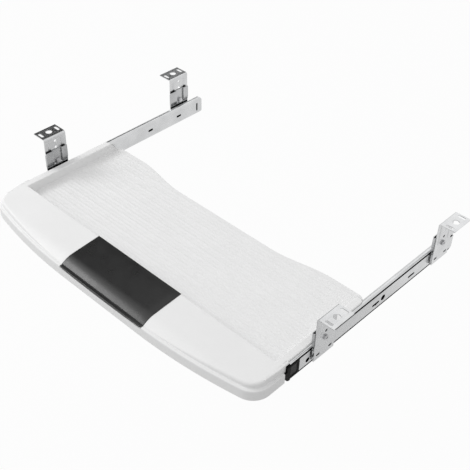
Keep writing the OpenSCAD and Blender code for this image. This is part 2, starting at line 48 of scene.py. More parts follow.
# Sizes in millimetres, in the frame of the CAD model
tray_lo, tray_hi = [[v / MM for v in corner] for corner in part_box("tray_shell")]
pad_lo, pad_hi = [[v / MM for v in corner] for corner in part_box("wrist_pad")]
SKIRT_X = tray_hi[0]
FRONT_Y = tray_lo[1]
REAR_Y = tray_hi[1]
SKIRT_Z = tray_lo[2]
RIM_Z = tray_hi[2]
STEP_Y = FRONT_Y + 83.8
LEDGE_Z = RIM_Z - 13.5
FLOOR_Z = RIM_Z - 18.5
WELL_H = RIM_Z - FLOOR_Z
LEDGE_W = 5.5
RIM_X = SKIRT_X - LEDGE_W
RIM_Y = STEP_Y + 189
WALL_X = SKIRT_X - 16.9
WELL_X = WALL_X - 2.6
CORNER_R = 32.5
BOW_FLAT = 87
BOW_R = 1010
SLOPE = math.radians(4.6)
ROLL_R = 42
ROLL_FOOT = 0.5
RUN_OUT = 13.9
SHELL_T = 2.0

# Rear edge of the well: depth of the scoop, and where it starts and how far it runs as shares of
# the half width
SCOOP = 16.5
SCOOP_START = 0.37
SCOOP_SPAN = 0.41
REAR_CORNER_R = 14
RIM_CORNER_R = 9

# Ribs across the well's floor, with lower ones between them
RIB_PITCH = 15
FIRST_RIB = 5
LAST_RIB = 8
RIB_H = 0.45
SUB_RIB_H = 0.18
RIB_HALF = 1.6
RIB_END = 6
RIB_REAR_END = 2.5
RIB_FADE = 2

# Roundings of the moulding
EDGE_R = 4.5
RIM_EDGE_R = 2.1
STEP_R = 2.1
FLOOR_R = 1.5
LEDGE_R = 2.2
FOOT_R = 2.0
LIP_R = 2.1
LIP_H = 8.5
SKIRT_BEVEL = 0.6
EDGE_CHANGE_Y = STEP_Y - 34

# Slides
CHANNEL_X = SKIRT_X - 12
SLIDE_Z = RIM_Z - 20
CHANNEL_FRONT_Y = STEP_Y + 11.5
BUMPER_HEAD_Y = STEP_Y + 3.9
LUG_Z = FLOOR_Z - 0.15
RAIL_X = CHANNEL_X + 10.7
RAIL_Y = STEP_Y + 33
RAIL_L = 398.5

# Holes cut into each rail as (y, z, radius), and plugs for two holes of the solids
RAIL_HOLES = ((1.7, SLIDE_Z - 1.4, 5.2), (-16.8, SLIDE_Z - 3.4, 3.0))
PLUG_SHARES = (0.3, 0.52)
PLUG_Z = SLIDE_Z - 2.8
PLUG_R = 2.45
PLUG_T = 1.2
PLUG_PROUD = 0.02

# Shoulder of the rim, which grows from inside the rim towards the slide's bumper
SHOULDER_X = RIM_X + 2.6
SHOULDER_R = 2.0
SHOULDER_IN = 2.5
SHOULDER_START = RIM_X - 0.3
FLARE_Y = STEP_Y - 36
FLARE_END_Y = STEP_Y - 4

# Wrist pad, and the bed for it in the tray
PAD_HALF = (pad_hi[0] - pad_lo[0]) / 2
PAD_T = 3.2
PAD_BED = PAD_T + 0.15
PAD_GAP = 0.2
PAD_PROUD = 0.9
PAD_CROWN = 0.35
PAD_EDGE_R = 0.4
HOOK_T = 1.4
HOOK_BED = HOOK_T + 0.1
HOOK_H = 4.2
HOOK_END_H = 0.8
HOOK_CORNER_R = 3.5
LIP_TILT = 0.8

# Reach of the painted shade in the metal's crevices and of the painted shade inside the slides
CREVICE_SHADE_REACH = 5
SLIDE_SHADE_REACH = 13

# Points in most quarter turns, in the rounding over the rim, and in a circle
ARC_POINTS = 5
TOP_ARC = 7
CIRCLE_POINTS = 32
WELD = 2e-6


# Mesh helpers

def smoothstep(a, b, v):
    """0 to 1 while v goes from a to b, with soft ends."""
    t = min(max((v - a) / (b - a), 0), 1)
    return t * t * (3 - 2 * t)


def quarter(n=ARC_POINTS):
    """Angles of a quarter turn in n points."""
    return [math.pi / 2 * i / (n - 1) for i in range(n)]


def add_patch(bm, rows):
    """Quads between rows of points of one length, given in millimetres."""
    grid = [[bm.verts.new(Vector(p) * MM) for p in row] for row in rows]
    for a, b in zip(grid, grid[1:]):
        for i in range(len(a) - 1):
            bm.faces.new((a[i], a[i + 1], b[i + 1], b[i]))


def add_loft(bm, loops):
    """Closed body over loops of points, given in millimetres."""
    rings = [[bm.verts.new(Vector(p) * MM) for p in loop] for loop in loops]
    n = len(loops[0])
    for a, b in zip(rings, rings[1:]):
        for i in range(n):
            j = (i + 1) % n
            bm.faces.new((a[i], a[j], b[j], b[i]))
    bm.faces.new(rings[0][::-1])
    bm.faces.new(rings[-1])


def circle(a, b, r):
    """Outline of a circle round (a, b)."""
    turns = [math.tau * i / CIRCLE_POINTS for i in range(CIRCLE_POINTS)]
    return [(a + r * math.cos(turn), b + r * math.sin(turn)) for turn in turns]


def add_prism(bm, outline, axis, start, end):
    """Closed prism of a 2-D outline, pushed along an axis (0 is x, 1 is y, 2 is z)."""
    rings = []
    for depth in (start, end):
        ring = []
        for a, b in outline:
            p = [a, b]
            p.insert(axis, depth)
            ring.append(bm.verts.new(Vector(p) * MM))
        rings.append(ring)
    n = len(outline)
    for i in range(n):
        j = (i + 1) % n
        bm.faces.new((rings[0][i], rings[0][j], rings[1][j], rings[1][i]))
    bm.faces.new(rings[0][::-1])
    bm.faces.new(rings[1])


def finish_mesh(bm, name, sharp_deg):
    """Object of a bmesh, smooth apart from edges above an angle."""
    for face in bm.faces:
        face.smooth = True
    for edge in bm.edges:
        if len(edge.link_faces) == 2 and edge.calc_face_angle() > math.radians(sharp_deg):
            edge.smooth = False
    mesh = bpy.data.meshes.new(name)
    bm.to_mesh(mesh)
    bm.free()
    obj = bpy.data.objects.new(name, mesh)
    scene.collection.objects.link(obj)
    return obj


def cut_hole(obj, cutter):
    """Takes the cutter's shape out of an object."""
    cut = obj.modifiers.new("hole", "BOOLEAN")
    cut.object = cutter
    cut.solver = "EXACT"


# Shape of the palm rest, as in the CAD model

palm_dir = Vector((-math.cos(SLOPE), -math.sin(SLOPE)))
palm_up = Vector((-math.sin(SLOPE), math.cos(SLOPE)))
step_top = Vector((STEP_Y, RIM_Z))
roll_end = Vector((FRONT_Y + LEDGE_W, LEDGE_Z + ROLL_FOOT))
to_centre = roll_end - step_top + ROLL_R * palm_up
along = to_centre.dot(palm_dir)
flat_length = along - math.sqrt(along ** 2 - to_centre.length_squared + ROLL_R ** 2)
roll_start = step_top + flat_length * palm_dir
roll_centre = roll_start - ROLL_R * palm_up


def palm_z(y):
    """Height of the palm rest at y."""
    if y >= roll_start.x:
        return RIM_Z - (STEP_Y - y) * math.tan(SLOPE)
    return roll_centre.y + math.sqrt(ROLL_R ** 2 - (y - roll_centre.x) ** 2)


def rear_edge(x):
    """Rear edge of the well at x: scooped in the middle, round at the corners."""
    share = min(max((abs(x) / WALL_X - SCOOP_START) / SCOOP_SPAN, 0), 1)
    edge = REAR_Y - SCOOP * (1 + math.cos(math.pi * share)) / 2
    over = abs(x) - (WALL_X - REAR_CORNER_R)
    if over > 0:
        edge -= REAR_CORNER_R - math.sqrt(REAR_CORNER_R ** 2 - over ** 2)
    return edge


# Plan of the front edge: straight, bowed, then a round corner

small_x = SKIRT_X - CORNER_R
bow_c = Vector((BOW_FLAT, FRONT_Y + BOW_R))
small_y = bow_c.y - math.sqrt((BOW_R - CORNER_R) ** 2 - (small_x - BOW_FLAT) ** 2)
bow_end_sin = (small_x - BOW_FLAT) / (BOW_R - CORNER_R)
RING_IN = LEDGE_W + EDGE_R
RING_X = SKIRT_X - RING_IN


def station(x):
    """Point of the skirt and its inward direction, for a column at x."""
    side = 1 if x >= 0 else -1
    ax = abs(x)
    if ax <= BOW_FLAT:
        return Vector((x, FRONT_Y)), Vector((0, 1))
    if ax <= BOW_FLAT + (BOW_R - RING_IN) * bow_end_sin:
        centre, radius = bow_c, BOW_R
    else:
        centre, radius = Vector((small_x, small_y)), CORNER_R
    s = min((ax - centre.x) / (radius - RING_IN), 1)
    c = math.sqrt(1 - s * s)
    return (Vector((side * (centre.x + radius * s), centre.y - radius * c)),
            Vector((-side * s, c)))


def under_pad(x):
    """Whether a column at x lies in the pad's bed."""
    return abs(x) <= PAD_HALF + PAD_GAP


def hook_depth(x):
    """How far the pad's hook reaches below the ledge at x."""
    share = min(abs(x) / PAD_HALF, 1)
    return HOOK_H + (HOOK_END_H - HOOK_H) * share ** 2


def ledge_drop(x):
    """How far the ledge is let down under the pad's lip at x."""
    return min(HOOK_BED, hook_depth(x) - 0.2)


def bed_z(y):
    """Height of the pad's bed at y."""
    return max(palm_z(y) - PAD_BED, LEDGE_Z - HOOK_BED)


def shoulder(side, y, foot):
    """Loop round the shoulder at y, down to the height given."""
    out = SHOULDER_START + (SHOULDER_X - SHOULDER_START) * smoothstep(FLARE_Y, FLARE_END_Y, y)
    inside = RIM_X - SHOULDER_IN
    top = palm_z(min(y, STEP_Y))
    outline = [(inside, foot), (out, foot)]
    for a in quarter():
        outline.append((out - SHOULDER_R * (1 - math.cos(a)), top - SHOULDER_R * (1 - math.sin(a))))
    outline.append((inside, top))
    return [(side * x, y, z) for x, z in outline]


def ring_profile(p, n, pad):
    """Points from the skirt's foot over the ledge and the wall to the palm rest."""
    def at(inset, z):
        return (p.x + inset * n.x, p.y + inset * n.y, z)

    wall_h = palm_z(p.y + LEDGE_W * n.y) - LEDGE_Z
    foot = min(FOOT_R, 0.4 * wall_h)
    top = min(EDGE_R, 0.5 * wall_h)
    # The upper edge gets as sharp as the rim's towards the step
    top += (RIM_EDGE_R - top) * smoothstep(EDGE_CHANGE_Y, STEP_Y - STEP_R, p.y)
    ledge_z = LEDGE_Z
    sink = 0
    hook_z = LEDGE_Z - max(hook_depth(p.x), ledge_drop(p.x) + LEDGE_R) - PAD_GAP
    if pad:
        ledge_z -= ledge_drop(p.x)
        sink = HOOK_BED
    pts = [at(SKIRT_BEVEL, SKIRT_Z), at(0, SKIRT_Z + SKIRT_BEVEL), at(0, hook_z), at(sink, hook_z)]
    for a in quarter():
        pts.append(at(sink + LEDGE_R * (1 - math.cos(a)), ledge_z - LEDGE_R * (1 - math.sin(a))))
    for a in quarter():
        pts.append(at(LEDGE_W - foot * (1 - math.sin(a)), ledge_z + foot * (1 - math.cos(a))))
    for a in quarter(TOP_ARC):
        inset = LEDGE_W + top * (1 - math.cos(a))
        y = p.y + inset * n.y
        z = bed_z(y) if pad else palm_z(y) - top * (1 - math.sin(a))
        pts.append(at(inset, z))
    return pts


# Profile of the well's border: distance inwards and height, from the rim to the floor
border = [(-STEP_R * (1 - math.sin(a)), RIM_Z - STEP_R * (1 - math.cos(a))) for a in quarter()]
border += [(FLOOR_R * (1 - math.cos(a)), FLOOR_Z + FLOOR_R * (1 - math.sin(a))) for a in quarter()]
DEEPEST = len(border) - 1
WALL_TOP = ARC_POINTS - 1


def tray_columns():
    """Columns across the tray as (x, index in the border profile), left to right."""
    pad_columns = 16
    pitch = 6
    near_wall = (8, 6, 4, 2.5)
    bed_end = PAD_HALF + PAD_GAP
    bed_step = 0.05
    half = [(PAD_HALF * i / pad_columns, DEEPEST) for i in range(pad_columns + 1)]
    half += [(bed_end, DEEPEST), (bed_end + bed_step, DEEPEST)]
    x = PAD_HALF + pitch
    while x < WELL_X - near_wall[0] - 1:
        half.append((x, DEEPEST))
        x += pitch
    half += [(WELL_X - d, DEEPEST) for d in near_wall]
    half += [(WELL_X - border[k][0], k) for k in range(DEEPEST, -1, -1)]
    # Round the corner, in degrees from the front
    corner = CORNER_R - RING_IN
    half += [(small_x + corner * math.sin(math.radians(a)), 0) for a in range(47, 90, 5)]
    half.append((RING_X, 0))
    return [(-x, k) for x, k in half[:0:-1]] + half


def tray_rows():
    """Rows of the well behind the step as (y, index in the border profile, rib height)."""
    rib_points = (-1, -0.66, -0.33, 0, 0.33, 0.66, 1)
    row_pitch = 3
    rows = [(STEP_Y + q, k, 0) for k, (q, z) in enumerate(border)]
    n = int((REAR_Y - STEP_Y - LAST_RIB - FIRST_RIB) / RIB_PITCH)
    for i in range(1, n + 1):
        for mid, height in ((i * RIB_PITCH, RIB_H), ((i + 0.5) * RIB_PITCH, SUB_RIB_H)):
            for f in rib_points:
                rows.append((STEP_Y + FIRST_RIB + mid + f * RIB_HALF, DEEPEST, height * (1 - f * f)))
    y = rows[-1][0]
    while y < REAR_Y:
        y += row_pitch
        rows.append((y, DEEPEST, 0))
    return rows


def well_point(x, kx, y, ky, rib):
    """Point of the well or of its rims."""
    k = min(kx, ky)
    if kx < WALL_TOP:
        over = max(abs(x) - (RIM_X - RIM_CORNER_R), 0)
        end = RIM_Y - RIM_CORNER_R + math.sqrt(max(RIM_CORNER_R ** 2 - over ** 2, 0))
        y = min(y, end)
        z = border[k][1]
    else:
        edge = rear_edge(x)
        y = min(y, edge - LIP_R)
        top = RIM_Z - WELL_H * min(max((y - RIM_Y) / RUN_OUT, 0), 1)
        z = min(border[k][1], top)
        side_end = WELL_X - RIB_END
        rear_end = edge - LIP_R - RIB_REAR_END
        fade = smoothstep(side_end, side_end - RIB_FADE, abs(x)) if kx == DEEPEST else 0
        z += rib * fade * smoothstep(rear_end, rear_end - RIB_FADE, y)
    if y < STEP_Y:
        z = min(z, palm_z(y))
        if under_pad(x):
            z = min(z, bed_z(y))
    elif under_pad(x):
        z = min(z, bed_z(STEP_Y))
    return (x, y, z)


def build_tray():
    """The moulding as one sheet: front ring, palm rest, then well and rims."""
    bm = bmesh.new()
    columns = tray_columns()
    palm_rows = 26
    crowding = 1.4
    shares = [(j / palm_rows) ** crowding for j in range(palm_rows + 1)]
    y_last = STEP_Y - STEP_R
    side_ys = [small_y + t * (y_last - small_y) for t in shares]
    front = [ring_profile(*station(x), under_pad(x)) for x, k in columns]
    side = {}
    for s in (-1, 1):
        side[s] = [ring_profile(Vector((s * SKIRT_X, y)), Vector((-s, 0)), False) for y in side_ys]
    add_patch(bm, side[-1][:0:-1] + front + side[1][1:])

    palm = []
    for j, t in enumerate(shares):
        row = [side[-1][j][-1]]
        for (x, k), ring in list(zip(columns, front))[1:-1]:
            start = ring[-1]
            y = start[1] + t * (y_last - start[1])
            z = bed_z(y) if under_pad(x) else palm_z(y)
            row.append((start[0] + t * (x - start[0]), y, z))
        row.append(side[1][j][-1])
        palm.append(row)
    add_patch(bm, palm)

    # Well and rims, with the rims' rounded outer edges
    well = []
    for y, ky, rib in tray_rows():
        inner = [well_point(x, kx, y, ky, rib) for x, kx in columns[1:-1]]
        rim = []
        for a in quarter(TOP_ARC):
            x = RIM_X - RIM_EDGE_R * (1 - math.cos(a))
            px, py, pz = well_point(x, 0, y, 0, 0)
            rim.append((px, py, pz - RIM_EDGE_R * (1 - math.sin(a))))
        well.append([(-px, py, pz) for px, py, pz in rim] + inner + rim[::-1])
    # Lip turned down along the rear edge
    last = well[-1]
    for drop in quarter()[1:] + [None]:
        row = []
        for x, kx in columns[1:-1]:
            if kx < WALL_TOP:
                row.append(well_point(x, kx, REAR_Y, DEEPEST, 0))
            elif drop is None:
                row.append((x, rear_edge(x), FLOOR_Z - LIP_H))
            else:
                row.append((x, rear_edge(x) - LIP_R * (1 - math.sin(drop)),
                            FLOOR_Z - LIP_R * (1 - math.cos(drop))))
        well.append(last[:TOP_ARC] + row + last[-TOP_ARC:])
    add_patch(bm, well)

    # Ends of the skirt and the ledge beside the step
    for s in (-1, 1):
        ends = []
        for q, z in border[:WALL_TOP + 1]:
            ring = ring_profile(Vector((s * SKIRT_X, STEP_Y + q)), Vector((-s, 0)), False)
            ends.append(ring[:len(ring) - TOP_ARC + 1])
        add_patch(bm, ends)

    bmesh.ops.remove_doubles(bm, verts=bm.verts, dist=WELD)
    bmesh.ops.recalc_face_normals(bm, faces=bm.faces)
    top = max(bm.faces, key=lambda f: f.calc_center_median().z)
    if top.normal.z < 0:
        bmesh.ops.reverse_faces(bm, faces=bm.faces)
    obj = finish_mesh(bm, "tray_moulding", 40)
    wall = obj.modifiers.new("wall", "SOLIDIFY")
    wall.thickness = SHELL_T * MM
    wall.offset = -1
    wall.use_even_offset = True
    return obj


def build_tray_ribs():
    """Stiffening under the tray: back wall, ribs, side beams, rim shoulders and screw bosses."""
    bm = bmesh.new()
    skin = 0.4
    wall_half = 1
    shelf_z = LEDGE_Z - LEDGE_R
    rim_z = RIM_Z - 3
    floor_z = FLOOR_Z - 1
    low_z = FLOOR_Z - LIP_H
    rib_z = low_z + 0.3
    half = [(SKIRT_X - skin, SKIRT_Z + skin), (SKIRT_X - skin, shelf_z), (RIM_X - skin, shelf_z),
            (RIM_X - skin, rim_z), (WELL_X + 1, rim_z), (WELL_X + 1, floor_z)]
    outline = half + [(-x, z) for x, z in half[::-1]]
    add_prism(bm, outline, 1, STEP_Y - 2.6, STEP_Y - 0.15)

    # Ribs from front to back under the well and under the palm rest
    palm_skin = PAD_T + 1
    palm_depth = PAD_T + SHELL_T + 4
    palm_rib = [(STEP_Y - 2, RIM_Z - palm_skin), tuple(roll_start - palm_skin * palm_up),
                tuple(roll_start - palm_depth * palm_up), (STEP_Y - 2, RIM_Z - palm_depth / math.cos(SLOPE))]
    for i in range(-4, 5):
        x = i * SKIRT_X / 5
        rear_y = rear_edge(x) - 1
        well_rib = [(STEP_Y - 1, floor_z), (STEP_Y - 1, rib_z), (rear_y, rib_z), (rear_y, floor_z)]
        for rib in (well_rib, palm_rib):
            add_prism(bm, rib, 0, x - wall_half, x + wall_half)
    # Ribs from side to side
    cross_rib = [(-WELL_X, floor_z), (WELL_X, floor_z), (WELL_X, rib_z), (-WELL_X, rib_z)]
    for share in (0.3, 0.6):
        y = STEP_Y + share * (REAR_Y - STEP_Y)
        add_prism(bm, cross_rib, 1, y, y + 2 * wall_half)

    end_y = RIM_Y + RUN_OUT - 1
    slide_x = CHANNEL_X - 0.15
    for s in (-1, 1):
        inner, outer = sorted((s * (WELL_X + 0.1), s * (WALL_X - 0.1)))
        beam = [(inner, low_z), (outer, low_z), (outer, FLOOR_Z + 1), (inner, FLOOR_Z + 1)]
        add_prism(bm, beam, 1, STEP_Y - 0.5, end_y)
        # Block that fills the gap to the slide at the wall's rear end
        block = [(RIM_Y - 4, RIM_Z - 4), (RIM_Y - 1, RIM_Z - 4), (end_y, LUG_Z), (end_y, low_z),
                 (RIM_Y - 4, low_z)]
        add_prism(bm, block, 0, *sorted((s * (WALL_X - 0.3), s * slide_x)))
        # Fillet where that wall runs out into the floor
        loops = []
        for past, inset in ((0.5, -0.05), (5, 0.5), (9, 1.3), (RUN_OUT + 1.5, 1.3)):
            y = RIM_Y + past
            top = max(RIM_Z - WELL_H * past / RUN_OUT - 0.3, FLOOR_Z + 0.05)
            x_in, x_out = s * (WELL_X - inset), s * slide_x
            loops.append([(x_out, y, low_z), (x_in, y, low_z), (x_in, y, top), (x_out, y, top)])
        add_loft(bm, loops)
        # Shoulder of the rim, growing towards the slide's bumper and lying over its head
        ys = [FLARE_Y + (BUMPER_HEAD_Y - 0.1 - FLARE_Y) * i / 10 for i in range(11)]
        add_loft(bm, [shoulder(s, y, LEDGE_Z + 0.05) for y in ys])
        ys = (BUMPER_HEAD_Y - 0.2, CHANNEL_FRONT_Y - 0.3)
        add_loft(bm, [shoulder(s, y, RIM_Z - 2.35) for y in ys])
        # Bosses for the channel's screws
        for share in (0.22, 0.53, 0.84):
            boss = circle(STEP_Y + share * (RIM_Y - STEP_Y), SLIDE_Z, 5)
            add_prism(bm, boss, 0, *sorted((s * (WELL_X + 1), s * (CHANNEL_X - 0.1))))
    bmesh.ops.recalc_face_normals(bm, faces=bm.faces)
    return finish_mesh(bm, "tray_stiffening", 35)


def build_pad():
    """Wrist pad: a thin crowned pad over the roll, with a lip hooked over the ledge."""
    bm = bmesh.new()
    rear_y = STEP_Y - 0.25
    lip_top = LEDGE_Z + 0.25
    lip_r = 0.9
    face_y = FRONT_Y - 0.1
    foot_y = roll_end.x + 0.3
    under = PAD_T - 0.2
    crown_rear = 14
    crown_front = 10
    crown_side = 12
    crease = 0.35

    # Seen side, from the rear edge to the lip: (y, z, crown share)
    seen = [(rear_y, palm_z(rear_y) - under, 0)]
    for a in quarter():
        seen.append((rear_y - PAD_EDGE_R * (1 - math.cos(a)),
                     palm_z(rear_y) + PAD_PROUD - PAD_EDGE_R * (1 - math.sin(a)), 0))
    y_from = rear_y - PAD_EDGE_R
    rows = 44
    for i in range(1, rows + 1):
        y = y_from + (foot_y - y_from) * i / rows
        crown = min(smoothstep(rear_y, rear_y - crown_rear, y), smoothstep(foot_y, foot_y + crown_front, y))
        seen.append((y, palm_z(y) + PAD_PROUD, crown))
    seen.append((foot_y - 0.2, lip_top, 0))
    seen.append((foot_y - 0.5, lip_top - crease, 0))
    for a in quarter():
        seen.append((face_y + lip_r * (1 - math.sin(a)), lip_top - lip_r * (1 - math.cos(a)), 0))
    # Hidden side, back to the rear edge
    hidden = []
    hidden_rows = 16
    y_bed = roll_end.x + 2.5
    for i in range(hidden_rows + 1):
        y = y_bed + (rear_y - 0.3 - y_bed) * i / hidden_rows
        hidden.append((y, palm_z(y) - under))

    # Columns across the pad, closer together towards its rounded ends
    flat_half = PAD_HALF - PAD_EDGE_R
    even_half = PAD_HALF - HOOK_CORNER_R - 0.5
    even_columns = 40
    xs = [even_half * (2 * i / even_columns - 1) for i in range(even_columns + 1)]
    ends = [PAD_HALF - HOOK_CORNER_R * (1 - math.sin(a)) for a in quarter(6)[:-1]]
    ends = [x for x in ends if x < flat_half]
    ends += [PAD_HALF - PAD_EDGE_R * (1 - math.sin(a)) for a in quarter()]
    xs = [-x for x in ends[::-1]] + xs + ends
    loops = []
    for x in xs:
        over = max(abs(x) - flat_half, 0)
        fall = PAD_EDGE_R - math.sqrt(max(PAD_EDGE_R ** 2 - over ** 2, 0))
        crown_x = 1 - smoothstep(PAD_HALF - crown_side, PAD_HALF, abs(x))
        hook_z = min(LEDGE_Z - hook_depth(x), lip_top - lip_r - 0.1)
        round_in = max(abs(x) - (PAD_HALF - HOOK_CORNER_R), 0)
        back = HOOK_CORNER_R - math.sqrt(max(HOOK_CORNER_R ** 2 - round_in ** 2, 0))
        back = min(back, HOOK_T - 0.2)
        lip_z = LEDGE_Z - ledge_drop(x) + 0.1
        loop = []
        for y, z, crown in seen:
            share = min(max((foot_y - y) / (foot_y - face_y), 0), 1)
            # The lip's crease rises towards the ends
            if share > 0:
                z += LIP_TILT * (1 - share) * (x / PAD_HALF) ** 2
            loop.append((x, y + back * share, z + PAD_CROWN * crown * crown_x - fall))
        loop += [(x, face_y + back, hook_z + 0.1), (x, face_y + back + 0.1, hook_z)]
        loop += [(x, FRONT_Y + HOOK_T, hook_z), (x, FRONT_Y + HOOK_T, lip_z)]
        loop += [(x, y, max(z, lip_z)) for y, z in hidden]
        loop.append(loop[0])
        loops.append(loop)
    add_patch(bm, loops)
    bmesh.ops.remove_doubles(bm, verts=bm.verts, dist=WELD)
    bmesh.ops.holes_fill(bm, edges=[e for e in bm.edges if e.is_boundary], sides=0)
    bmesh.ops.recalc_face_normals(bm, faces=bm.faces)
    return finish_mesh(bm, "wrist_pad_cover", 25)


# Materials

NOISE_LOW = 0.3
NOISE_HIGH = 0.7
AO_SAMPLES = 8


def new_material(name):
    """Material with its node tree and its shader."""
    mat = bpy.data.materials.new(name)
    mat.use_nodes = True
    tree = mat.node_tree
    return mat, tree, tree.nodes["Principled BSDF"]


def grey(level):
    """Neutral colour."""
    return (level, level, level)


def noise(tree, scale, detail, stretch=(1, 1, 1)):
    """Noise in the object's own coordinates, with scale in cells per metre."""
    coords = tree.nodes.new("ShaderNodeTexCoord")
    mapping = tree.nodes.new("ShaderNodeMapping")
    mapping.inputs["Scale"].default_value = stretch
    tex = tree.nodes.new("ShaderNodeTexNoise")
    tex.inputs["Scale"].default_value = scale
    tex.inputs["Detail"].default_value = detail
    tree.links.new(coords.outputs["Object"], mapping.inputs["Vector"])
    tree.links.new(mapping.outputs["Vector"], tex.inputs["Vector"])
    return tex.outputs["Fac"]


def ramp(tree, fac, low, high):
    """Colour between low and high, for the middle of a noise."""
    node = tree.nodes.new("ShaderNodeValToRGB")
    for element, position, colour in zip(node.color_ramp.elements, (NOISE_LOW, NOISE_HIGH), (low, high)):
        element.position = position
        element.color = (*colour, 1)
    tree.links.new(fac, node.inputs["Fac"])
    return node.outputs["Color"]


def map_range(tree, value, start, end, low, high):
    """Number that goes from low to high while the value goes from start to end."""
    node = tree.nodes.new("ShaderNodeMapRange")
    node.inputs["From Min"].default_value = start
    node.inputs["From Max"].default_value = end
    node.inputs["To Min"].default_value = low
    node.inputs["To Max"].default_value = high
    tree.links.new(value, node.inputs["Value"])
    return node.outputs["Result"]


def math_node(tree, operation, a, b):
    """Result of a sum or comparison of a socket and a number or another socket."""
    node = tree.nodes.new("ShaderNodeMath")
    node.operation = operation
    for value, socket in zip((a, b), node.inputs):
        if isinstance(value, (int, float)):
            socket.default_value = value
        else:
            tree.links.new(value, socket)
    return node.outputs[0]


def mix_colours(tree, factor, a, b):
    """Colour between a and b; each is a socket or a fixed colour."""
    node = tree.nodes.new("ShaderNodeMix")
    node.data_type = "RGBA"
    tree.links.new(factor, node.inputs[0])
    for value, socket in zip((a, b), node.inputs[6:8]):
        if isinstance(value, tuple):
            socket.default_value = (*value, 1)
        else:
            tree.links.new(value, socket)
    return node.outputs[2]


def mix_shaders(tree, factor, a, b):
    """Shader between a and b."""
    node = tree.nodes.new("ShaderNodeMixShader")
    for socket, target in zip((factor, a, b), node.inputs):
        tree.links.new(socket, target)
    return node.outputs[0]


def bump(tree, shader, height, strength, depth):
    """Fine relief of a shader's surface."""
    node = tree.nodes.new("ShaderNodeBump")
    node.inputs["Strength"].default_value = strength
    node.inputs["Distance"].default_value = depth
    tree.links.new(height, node.inputs["Height"])
    tree.links.new(node.outputs["Normal"], shader.inputs["Normal"])


def openness(tree, reach):
    """1 in the open, less where other faces lie within the reach in millimetres."""
    node = tree.nodes.new("ShaderNodeAmbientOcclusion")
    node.samples = AO_SAMPLES
    node.inputs["Distance"].default_value = reach * MM
    return node.outputs["AO"]


def plastic(name, low, high, rough, grain, depth, specular=0.5):
    """Moulded plastic: slight tone variation, fine spark-eroded grain."""
    mat, tree, shader = new_material(name)
    tree.links.new(ramp(tree, noise(tree, 14, 3), low, high), shader.inputs["Base Color"])
    roughness = map_range(tree, noise(tree, 60, 4), NOISE_LOW, NOISE_HIGH, *rough)
    tree.links.new(roughness, shader.inputs["Roughness"])
    shader.inputs["IOR"].default_value = 1.48
    shader.inputs["Specular IOR Level"].default_value = specular
    bump(tree, shader, noise(tree, grain, 2), 0.35, depth)
    return mat


def sheet_metal(name, low, high, rough, stretch):
    """Plated steel: faintly cloudy, with rolling marks along the sheet and painted shade in crevices."""
    mat, tree, shader = new_material(name)
    shader.inputs["Metallic"].default_value = 1
    tone = ramp(tree, noise(tree, 40, 3), low, high)
    # Painted shade: the colour turns near black where other faces lie within the reach
    crevice_shade = map_range(tree, openness(tree, CREVICE_SHADE_REACH), 0.2, 0.75, 0.85, 0)
    tree.links.new(mix_colours(tree, crevice_shade, tone, grey(0.03)), shader.inputs["Base Color"])
    streaks = noise(tree, 60, 3, stretch)
    roughness = map_range(tree, streaks, NOISE_LOW, NOISE_HIGH, *rough)
    tree.links.new(roughness, shader.inputs["Roughness"])
    bump(tree, shader, streaks, 0.1, 0.00002)
    return mat


def repaint(mat, u_range, w_range, round_r, low, high, reach=0):
    """Another tone where the slide section (u, w), in millimetres, lies in a box with round corners.

    With a reach, only where other faces close the place in, which paints shade there.
    """
    tree = mat.node_tree
    shader = tree.nodes["Principled BSDF"]
    coords = tree.nodes.new("ShaderNodeTexCoord")
    split = tree.nodes.new("ShaderNodeSeparateXYZ")
    tree.links.new(coords.outputs["Object"], split.inputs["Vector"])
    from_middle = math_node(tree, "ABSOLUTE", split.outputs["X"], 0)
    height = split.outputs["Z"]
    squares = []
    for place, zero, (start, end) in ((from_middle, CHANNEL_X, u_range), (height, SLIDE_Z, w_range)):
        off = math_node(tree, "SUBTRACT", place, (zero + (start + end) / 2) * MM)
        off = math_node(tree, "ABSOLUTE", off, 0)
        off = math_node(tree, "SUBTRACT", off, ((end - start) / 2 - round_r) * MM)
        off = math_node(tree, "MAXIMUM", off, 0)
        squares.append(math_node(tree, "POWER", off, 2))
    inside = math_node(tree, "LESS_THAN", math_node(tree, "ADD", *squares), (round_r * MM) ** 2)
    if reach:
        enclosed = map_range(tree, openness(tree, reach), 0.5, 0.85, 1, 0)
        inside = math_node(tree, "MULTIPLY", inside, enclosed)
    plain = shader.inputs["Base Color"].links[0].from_socket
    other = ramp(tree, noise(tree, 150, 3), low, high)
    tree.links.new(mix_colours(tree, inside, plain, other), shader.inputs["Base Color"])


# Plastics: tones, roughness, grain in cells per metre, its depth in metres, mirror strength
tray_white = plastic("tray_white", grey(0.81), grey(0.83), (0.42, 0.5), 2400, 0.00005)
bumper_black = plastic("bumper_black", grey(0.004), grey(0.007), (0.38, 0.5), 1800, 0.00008, 0.04)
repaint(bumper_black, (9.4, 9.9), (-12, 10), 0.1, grey(0.055), grey(0.065))
pad_black = plastic("pad_black", grey(0.012), grey(0.016), (0.27, 0.32), 900, 0.00004, 0.6)

